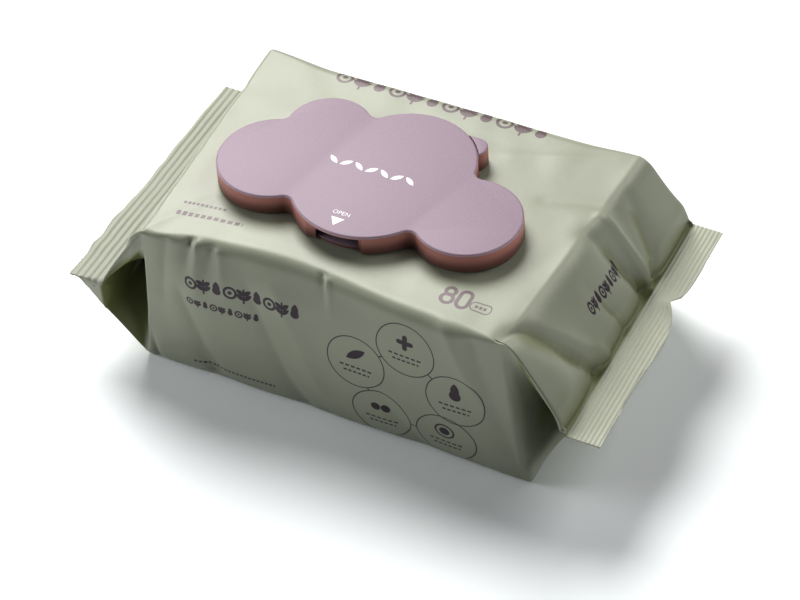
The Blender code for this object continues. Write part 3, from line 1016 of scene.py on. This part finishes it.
def painted_tuck_shade(settings, along, girth):
    """Painted shade: 1 deep inside the tucked ends, and along the right end's hem and its fin's inner edge, where
    shade falls.
    """
    half, tall = settings.body_width / 2 / MM, settings.body_height / MM
    left_end = (settings.body_shift - settings.body_length / 2) / MM
    right_end = (settings.body_shift + settings.body_length / 2) / MM
    hang = ((along - left_end) * 0.5 + 8.0).most(0.0)
    left = along.step(left_end - 0.5, left_end - 2.5) * (girth - hang).step(half + 1.5, half + 5.0)
    left = left * girth.step(half + tall + 0.5, half + tall - 3.0)
    right = along.step(right_end + 0.5, right_end + 3.5) * girth.step(half + 5.0, half + 9.0)
    right = right * girth.step(half + tall - 9.0, half + tall - 25.0)
    # Painted shade under the back of the right end, along its hem and fin seam, and in the pinch.
    back = along.size().step(right_end + 2.0, right_end + 5.0) * girth.step(-half - 6.0, -half - 11.0)
    back = back * girth.step(-half - tall + 2.0, -half - tall + 8.0)
    hem = (girth - 51.0).size().step(0.9, 0.2) * along.step(69.0, 71.0) * along.step(91.0, 90.0)
    seam = (along - 91.1).size().step(1.0, 0.2) * (girth - 51.0).step(1.0, 0.0) * (girth + 55.0).step(0.0, 1.0)
    pinch = (((along - 90.0) / 3.2) ** 2 + ((girth + FIN_PINCH) / 3.6) ** 2).step(1.0, 0.1)
    shade = (left * 0.95).most(right * 0.85).most(back * 0.8).most(hem * 0.85).most(seam * 0.8).most(pinch * 0.7)
    # Painted shade fading out from the right fin's inner edge and along the valleys.
    near_fin = (along - 91.0).size().step(7.5, 0.5) * (girth - 51.0).step(2.0, -2.0) * (girth + 54.0).step(-2.0, 2.0)
    shade = shade.most(painted_valley_shade(along, girth) * 0.5).most(near_fin * 0.32)
    return shade * along.size().step(92.6, 91.9)


def greeked_line(along, level, start, end, height, pitch):
    """A row of short bars of uneven length, as small type looks from afar."""
    cell = (along - start).wrap(0.0, pitch)
    bars = ink((cell - pitch * 0.42).size() - pitch * 0.34, 0.1)
    within = (along - (start + end) / 2).size().step((end - start) / 2 + 0.05, (end - start) / 2 - 0.05)
    return bars * within * (level.size() - height / 2).step(0.08, -0.08)


BADGES = (
    ((10.7, 84.0), "leaf"),
    ((30.6, 70.0), "plus"),
    ((49.6, 86.0), "drop"),
    ((44.5, 107.0), "sun"),
    ((19.4, 106.2), "pair"),
)
BADGE_RADIUS = 11.3


def badge_icon(kind, x, y):
    """The mark in a badge's upper half, about its own centre with y down."""
    if kind == "leaf":
        along, across = turned(x, y, (0.0, 0.0), -35.0)
        return ink(leaf_shape(along, across, 4.6, 1.7))
    if kind == "plus":
        return ink(bar_shape(x, y, (0.0, 0.0), 3.3, 0.95)).most(ink(bar_shape(y, x, (0.0, 0.0), 3.3, 0.95)))
    if kind == "drop":
        along, across = turned(x, y, (0.0, -1.4), 90.0)
        return ink(ring_shape(x, y, (0.0, 0.9), 2.3)).most(ink(leaf_shape(along, across, 3.6, 1.75)))
    if kind == "sun":
        return ink(ring_shape(x, y, (0.0, 0.0), 2.0)).most(line_ink(ring_shape(x, y, (0.0, 0.0), 3.5), 0.7))
    return ink(ring_shape(x, y, (-1.9, 0.0), 1.8)).most(ink(ring_shape(x, y, (1.9, 0.0), 1.8)))


def dark_print(along, girth):
    """Print on the front face and the right end panel."""
    marks = None
    for number, ((cx, cg), kind) in enumerate(BADGES):
        x, y = along - cx, girth - cg
        badge = line_ink(ring_shape(x, y, (0.0, 0.0), BADGE_RADIUS), 0.42)
        badge = badge.most(badge_icon(kind, x, y + 3.6))
        badge = badge.most(greeked_line(x, y - 2.6, -6.6, 6.6, 0.75, 2.2))
        badge = badge.most(greeked_line(x, y - 4.8, -5.2, 5.2, 0.75, 1.9))
        marks = badge if marks is None else marks.most(badge)
        nx, ng = BADGES[(number + 1) % len(BADGES)][0]
        gap = math.dist((cx, cg), (nx, ng))
        share = BADGE_RADIUS / gap
        start = (cx + (nx - cx) * share, cg + (ng - cg) * share)
        end = (nx - (nx - cx) * share, ng - (ng - cg) * share)
        if gap > 2 * BADGE_RADIUS:
            marks = marks.most(link_ink(along, girth, start, end, 0.5))
    marks = marks.most(motif_row(along, girth, (-34.2, 71.4), 46.8, 5.2, 3.4, 1.25))
    marks = marks.most(motif_row(along, girth, (-43.0, 80.4), 29.7, 3.3, 1.9, 0.8))
    marks = marks.most(greeked_line(along, girth - 112.2, -57.8, -24.6, 0.9, 1.7))
    marks = marks.most(motif_row(-1.0 * girth, along, (-0.5, 82.0), 25.2, 2.8, 1.6, 0.7))
    return marks


def motif_row(along, girth, centre, width, pitch, size, stroke):
    """A row of ringed dots, leaf sprigs and drops by turns."""
    start = along - centre[0] + width / 2
    level = girth - centre[1]
    ring_cell = start.wrap(0.0, 3 * pitch) - pitch / 2
    leaf_cell = start.wrap(0.0, 3 * pitch) - 1.5 * pitch
    drop_cell = start.wrap(0.0, 3 * pitch) - 2.5 * pitch
    hub = ring_shape(ring_cell, level, (0.0, 0.0), 0.0)
    marks = line_ink(hub - size * 0.66, stroke * 0.8).most(ink(hub - size * 0.24))
    stem = bar_shape(level, leaf_cell, (size * 0.15, 0.0), size * 0.95, stroke * 0.3)
    marks = marks.most(ink(stem))
    for rise, reach in ((-0.30, 0.56), (0.30, 0.62)):
        leaf_x, leaf_y = turned(leaf_cell.size(), level, (size * 0.36, size * rise), -38.0)
        marks = marks.most(ink(leaf_shape(leaf_x, leaf_y, size * reach, size * 0.27)))
    tip_x, tip_y = turned(drop_cell, level, (0.0, -size * 0.22), 90.0)
    marks = marks.most(ink(ring_shape(drop_cell, level, (0.0, size * 0.22), size * 0.5)))
    marks = marks.most(ink(leaf_shape(tip_x, tip_y, size * 0.78, size * 0.42)))
    within = start.step(-0.05, 0.05) * start.step(width + 0.05, width - 0.05)
    return marks * within


def pale_print(along, girth):
    """Print on the top panel: a row of motifs behind the lid, small lines by the left edge, and the count."""
    marks = motif_row(along, girth, (-4.7, -49.4), 87.0, 7.25, 4.3, 1.5)
    marks = marks.most(greeked_line(along, girth - 33.8, -68.5, -49.5, 1.3, 1.9))
    marks = marks.most(greeked_line(along, girth - 39.3, -68.5, -41.0, 1.8, 2.7))
    marks = marks.most(line_ink(ring_shape(along, girth, (40.6, 37.0), 1.75), 1.4))
    marks = marks.most(line_ink(ring_shape(along, girth, (40.6, 40.6), 2.15), 1.4))
    marks = marks.most(line_ink(bar_shape(girth, along, (38.8, 46.5), 4.0, 2.1), 1.4))
    marks = marks.most(line_ink(bar_shape(along, girth, (54.2, 40.0), 4.6, 1.9), 0.5))
    marks = marks.most(greeked_line(along, girth - 40.0, 51.4, 57.0, 1.2, 1.9))
    return marks


def plastic_finish(name, settings, top):
    """Moulded polypropylene: fine speckle on top; the skirt smoother, painted redder and darker as shade, darkening
    towards the bottom, with a painted highlight along the top rim.
    """
    finish = Finish(name)
    x, y, z = finish.place()
    place = finish.join(x, y, z)
    grain = finish.noise(place, 2.4, 3.0, 0.7)
    cloudy = finish.noise(place, 0.05, 2.0)
    normal = finish.node("ShaderNodeTexCoord").outputs["Normal"]
    upright = finish.split(normal, 1.0)[2].size().step(0.8, 0.4)
    skirt = z.step(top - 0.35, top - 1.1) * upright
    # Painted shade: the skirt darkens towards the bottom.
    deep = z.step(top - 2.0, top - 7.0)
    body = finish.mix(
        grain.step(0.25, 0.75),
        tuple(channel * 0.84 for channel in settings.plastic),
        tuple(min(channel * 1.16, 1.0) for channel in settings.plastic),
    )
    body = finish.mix(cloudy * 0.25, body, tuple(channel * 0.92 for channel in settings.plastic))
    # The skirt's painted shade colour, darker towards the bottom.
    side = finish.mix(deep, settings.skirt_painted_shade, tuple(channel * 0.45 for channel in settings.skirt_painted_shade))
    body = finish.mix(skirt, body, side)
    # Painted highlight along the top rim.
    rim = (z - top + 0.5).size().step(0.5, 0.1) * upright
    body = finish.mix(rim, body, settings.rim_painted_highlight)
    roughness = 0.5 + (grain - 0.5) * 0.2 - skirt * 0.12
    bump = finish.bump(grain, 0.00003, 0.35)
    return finish.set(Base_Color=body, Roughness=roughness, Normal=bump)


def label_finish(settings):
    finish = Finish("peel label")
    x, y, z = finish.place()
    fibre = finish.noise(finish.join(x, y, z), 1.2, 3.0)
    body = finish.mix(fibre, tuple(channel * 0.96 for channel in settings.label), settings.label)
    return finish.set(Base_Color=body, Roughness=0.45 + fibre * 0.1)


def mark_finish(settings):
    finish = Finish("lid print")
    x, y, z = finish.place()
    wear_noise = finish.noise(finish.join(x, y, z), 2.5, 3.0)
    body = finish.mix(wear_noise, tuple(channel * 0.94 for channel in settings.mark), settings.mark)
    return finish.set(Base_Color=body, Roughness=0.5 + wear_noise * 0.1)


# Operators


class WIPES_OT_film(bpy.types.Operator):
    """Build the film pack with its gusseted ends, folds, print and crimped fins"""

    bl_idname = "wipes.film"
    bl_label = "Film pack"

    def execute(self, context):
        settings = context.scene.wipes_film
        shape = FilmShape(settings)
        values = {
            "Inner Edge": shape.fin_inner * MM,
            "Left Pitch": settings.left_rib,
            "Right Pitch": settings.right_rib,
            "Rib Height": settings.rib_height,
            "Tooth Pitch": 2.2 * MM,
            "Tooth Depth": 0.35 * MM,
            "Material": film_finish(settings),
        }
        film = run_nodes(shape.mesh("film_pack"), crimp_tree(), values, "film_pack")
        film.data.shade_smooth()
        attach(film, PACK_BODY)
        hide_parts("wrapper")
        return {"FINISHED"}


class WIPES_OT_lid(bpy.types.Operator):
    """Build the cloud-shaped lid with its skirt and thumb notch"""

    bl_idname = "wipes.lid"
    bl_label = "Flip lid"

    def execute(self, context):
        settings = context.scene.wipes_lid
        shift = context.scene.wipes_film.body_shift / MM
        low = (context.scene.wipes_film.body_height / MM) + 0.4
        top, plate = settings.top / MM, settings.plate / MM
        wall, rim = settings.wall / MM, settings.rim / MM
        ceiling = top - plate
        outer = rounded_rings(cloud_outline, low, top, 0.25, rim, 6)
        inner = [
            (cloud_outline(wall + 0.8), ceiling),
            (cloud_outline(wall + 0.25), ceiling - 0.25),
            (cloud_outline(wall), ceiling - 0.8),
            (cloud_outline(wall - 0.1), low),
        ]
        lid = skin("lid_cap", inner + outer, shift)
        cut(lid, block("notch", -16.2, 6.2, -60.0, -31.9, 0.0, ceiling + 0.3, shift))
        cut(lid, block("rear", -13.5, 29.2, 20.5, 60.0, 0.0, ceiling, shift))
        soften(lid, 35.0)
        wear(lid, plastic_finish("lid plastic", settings, top))
        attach(lid, LID_BODY)
        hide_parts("lid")
        return {"FINISHED"}


class WIPES_OT_lid_marks(bpy.types.Operator):
    """Print the opening arrow and a plain row of leaves on the lid"""

    bl_idname = "wipes.lid_marks"
    bl_label = "Lid print"

    def execute(self, context):
        settings = context.scene.wipes_lid
        shift = context.scene.wipes_film.body_shift / MM
        top = settings.top / MM
        low, high = top - 0.02, top + 0.03
        shapes = [[(-8.2, -27.0), (-5.6, -31.0), (-3.0, -27.0)]]
        for number in range(7):
            centre = (-21.0 + 5.0 * number, -0.6)
            lean = math.radians(38.0 if number % 2 else -38.0)
            shapes.append(leaf_outline(centre, 2.5, 0.95, lean))
        pieces = [skin("mark", [(outline, low), (outline, high)], shift) for outline in shapes]
        pieces.append(self.word(shift, high))
        marks = join(pieces, "lid_print")
        wear(marks, mark_finish(settings))
        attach(marks, LID_BODY)
        return {"FINISHED"}

    def word(self, shift, height):
        """The plain word that says which edge lifts."""
        text = bpy.data.curves.new("open", "FONT")
        text.body = "OPEN"
        text.size = 2.6 * MM
        text.align_x = "CENTER"
        text.extrude = 0.02 * MM
        text.resolution_u = 3
        carrier = bpy.data.objects.new("open", text)
        bpy.context.scene.collection.objects.link(carrier)
        bpy.context.view_layer.update()
        graph = bpy.context.evaluated_depsgraph_get()
        mesh = bpy.data.meshes.new_from_object(carrier.evaluated_get(graph))
        mesh.transform(Matrix.Translation(((shift - 5.5) * MM, -25.4 * MM, height * MM)))
        bpy.data.objects.remove(carrier)
        piece = bpy.data.objects.new("word", mesh)
        bpy.context.scene.collection.objects.link(piece)
        return piece


def leaf_outline(centre, half_length, half_width, angle, steps=8):
    """A pointed leaf as two arcs."""
    radius = (half_length**2 + half_width**2) / (2 * half_width)
    half_sweep = math.asin(half_length / radius)
    points = []
    for side in (1.0, -1.0):
        for step in range(steps):
            turn = half_sweep - 2 * half_sweep * step / steps
            x = side * radius * math.sin(turn)
            y = side * (radius * math.cos(turn) - (radius - half_width))
            points.append(
                (
                    centre[0] + x * math.cos(angle) - y * math.sin(angle),
                    centre[1] + x * math.sin(angle) + y * math.cos(angle),
                )
            )
    return points


def join(pieces, name):
    """One object from several, their meshes put together."""
    made = bmesh.new()
    for piece in pieces:
        made.from_mesh(piece.data)
    bmesh.ops.recalc_face_normals(made, faces=made.faces)
    mesh = bpy.data.meshes.new(name)
    made.to_mesh(mesh)
    made.free()
    for piece in pieces:
        old = piece.data
        bpy.data.objects.remove(piece)
        bpy.data.meshes.remove(old)
    joined = bpy.data.objects.new(name, mesh)
    bpy.context.scene.collection.objects.link(joined)
    return joined


class WIPES_OT_lid_base(bpy.types.Operator):
    """Build the base frame: plate, collar, thumb lip and hinge block with its ear"""

    bl_idname = "wipes.lid_base"
    bl_label = "Lid base"
    HINGE_TOP = 72.9

    def execute(self, context):
        settings = context.scene.wipes_lid
        shift = context.scene.wipes_film.body_shift / MM
        floor = context.scene.wipes_film.body_height / MM + 0.3

        def plate_outline(inset):
            return cloud_outline(2.5 + inset)

        base = skin("lid_frame", rounded_rings(plate_outline, floor, floor + 1.2, 0.0, 0.3, 3), shift)
        cut(base, block("rear_left", -100.0, -13.8, 26.4, 100.0, 0.0, 100.0, shift))
        cut(base, block("lip", -100.0, 100.0, -100.0, -32.2, 0.0, 100.0, shift))

        def hinge_outline(inset):
            return rounded_rectangle(-12.3 + inset, 26.2 - inset, 21.0 + inset, 30.3 - inset, 4.2 - inset, 10)

        hinge = skin("hinge_block", rounded_rings(hinge_outline, floor, self.HINGE_TOP, 0.0, 0.5, 4), shift)
        cut(hinge, skin("sweep", [(cloud_outline(-0.35), 71.4), (cloud_outline(-0.35), 80.0)], shift))
        cut(base, hinge, "UNION")

        def collar_outline(inset):
            return opening_outline(inset - 1.4)

        cut(base, skin("collar", rounded_rings(collar_outline, floor + 1.0, 70.5, 0.0, 0.4, 3), shift), "UNION")
        cut(base, skin("opening", [(opening_outline(), 0.0), (opening_outline(), 100.0)], shift))
        soften(base, 35.0)
        wear(base, plastic_finish("base plastic", settings, self.HINGE_TOP))
        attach(base, PACK_BODY)
        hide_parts("lid_base")
        return {"FINISHED"}


class WIPES_OT_seal_label(bpy.types.Operator):
    """Build the peel label with its pull tab"""

    bl_idname = "wipes.seal_label"
    bl_label = "Seal label"

    def execute(self, context):
        settings = context.scene.wipes_lid
        shift = context.scene.wipes_film.body_shift / MM
        floor = context.scene.wipes_film.body_height / MM + 0.3
        (x, y), _, _ = OPENING

        def outline(inset):
            return rounded_rectangle(
                x - 28 + inset, x + 28 - inset, y - 13 + inset, y + 13 - inset, 9.0 - inset
            )

        label = skin("label", rounded_rings(outline, floor, floor + 0.4, 0.0, 0.12, 2), shift)
        tab = arc_points((x, y - 10.8), 4.0, 0.0, math.tau, 40)[:-1]
        cut(label, skin("tab", [(tab, floor), (tab, floor + 0.4)], shift), "UNION")
        label.name = "peel_label"
        soften(label, 35.0)
        wear(label, label_finish(settings))
        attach(label, PACK_BODY)
        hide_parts("seal_label")
        return {"FINISHED"}


def aim(obj, target):
    obj.rotation_euler = (Vector(target) - obj.location).to_track_quat("-Z", "Y").to_euler()


class WIPES_OT_stage(bpy.types.Operator):
    """Set the floor, the soft lights and the camera"""

    bl_idname = "wipes.stage"
    bl_label = "Stage"

    def execute(self, context):
        settings = context.scene.wipes_stage
        self.floor(context, settings)
        self.camera(context, settings)
        self.lights(context)
        context.scene.view_settings.view_transform = "Standard"
        context.scene.view_settings.gamma = 0.82
        return {"FINISHED"}

    def floor(self, context, settings):
        bpy.ops.mesh.primitive_plane_add(size=8.0)
        floor = context.active_object
        floor.name = "floor"
        finish = Finish("pale floor")
        x, y, z = finish.place()
        mottle = finish.noise(finish.join(x, y, z), 0.01, 2.0)
        shade = finish.mix(mottle, tuple(c * 0.99 for c in settings.floor_colour), settings.floor_colour)
        wear(floor, finish.set(Base_Color=shade, Roughness=0.8))

    def camera(self, context, settings):
        turn = math.radians(settings.azimuth)
        down = math.radians(settings.elevation)
        roll = math.radians(settings.roll)
        look = Vector((-math.sin(turn) * math.cos(down), math.cos(turn) * math.cos(down), -math.sin(down)))
        level = Vector((math.cos(turn), math.sin(turn), 0.0))
        rise = level.cross(look)
        right = level * math.cos(roll) - rise * math.sin(roll)
        up = level * math.sin(roll) + rise * math.cos(roll)
        aim_point = Vector((context.scene.wipes_film.body_shift, 0.0, 0.033))
        aim_point += right * settings.aim_right + up * settings.aim_up
        data = bpy.data.cameras.new("camera")
        data.lens = settings.focal_length
        data.sensor_width = 36.0
        data.clip_start = 0.05
        camera = bpy.data.objects.new("camera", data)
        rotation = Matrix((right, up, -look)).transposed().to_4x4()
        camera.matrix_world = Matrix.Translation(aim_point - look * settings.distance) @ rotation
        context.scene.collection.objects.link(camera)
        context.scene.camera = camera

    def lights(self, context):
        world = bpy.data.worlds.new("studio")
        world.use_nodes = True
        background = world.node_tree.nodes["Background"]
        background.inputs["Color"].default_value = (0.90, 0.97, 1.0, 1.0)
        background.inputs["Strength"].default_value = 0.07
        context.scene.world = world
        for name, place, size, power, shade in (
            ("key", (-1.20, 1.20, 1.84), 1.44, 77.0, (1.0, 0.995, 0.98)),
            ("back", (0.75, 0.85, 1.10), 0.9, 9.0, (1.0, 1.0, 1.0)),
            ("right", (1.40, -0.30, 0.70), 0.9, 4.6, (1.0, 1.0, 1.0)),
            ("side", (-0.60, -0.26, 0.30), 0.5, 2.5, (0.97, 0.99, 1.0)),
        ):
            data = bpy.data.lights.new(name, "AREA")
            data.shape = "DISK"
            data.size = size
            data.energy = power
            data.color = shade
            light = bpy.data.objects.new(name, data)
            light.location = place
            aim(light, (0.0, 0.0, 0.04))
            context.scene.collection.objects.link(light)


STEPS = (
    WIPES_OT_stage,
    WIPES_OT_film,
    WIPES_OT_lid_base,
    WIPES_OT_seal_label,
    WIPES_OT_lid,
    WIPES_OT_lid_marks,
)


class WIPES_PT_panel(bpy.types.Panel):
    """Lists the steps that build the pack"""

    bl_idname = "WIPES_PT_panel"
    bl_label = "Wet wipes pack"
    bl_space_type = "VIEW_3D"
    bl_region_type = "UI"
    bl_category = "Wipes"

    def draw(self, context):
        for step in STEPS:
            self.layout.operator(step.bl_idname)
        for group in (context.scene.wipes_film, context.scene.wipes_lid, context.scene.wipes_stage):
            for name in group.__annotations__:
                self.layout.prop(group, name)


GROUPS = (
    ("wipes_film", WipesFilmSettings),
    ("wipes_lid", WipesLidSettings),
    ("wipes_stage", WipesStageSettings),
)


def register():
    for name, group in GROUPS:
        bpy.utils.register_class(group)
        setattr(bpy.types.Scene, name, bpy.props.PointerProperty(type=group))
    for step in STEPS:
        bpy.utils.register_class(step)
    bpy.utils.register_class(WIPES_PT_panel)


def unregister():
    bpy.utils.unregister_class(WIPES_PT_panel)
    for step in reversed(STEPS):
        bpy.utils.unregister_class(step)
    for name, group in reversed(GROUPS):
        delattr(bpy.types.Scene, name)
        bpy.utils.unregister_class(group)


def main():
    register()
    for step in STEPS:
        area, name = step.bl_idname.split(".")
        getattr(getattr(bpy.ops, area), name)()


if __name__ == "__main__":
    main()
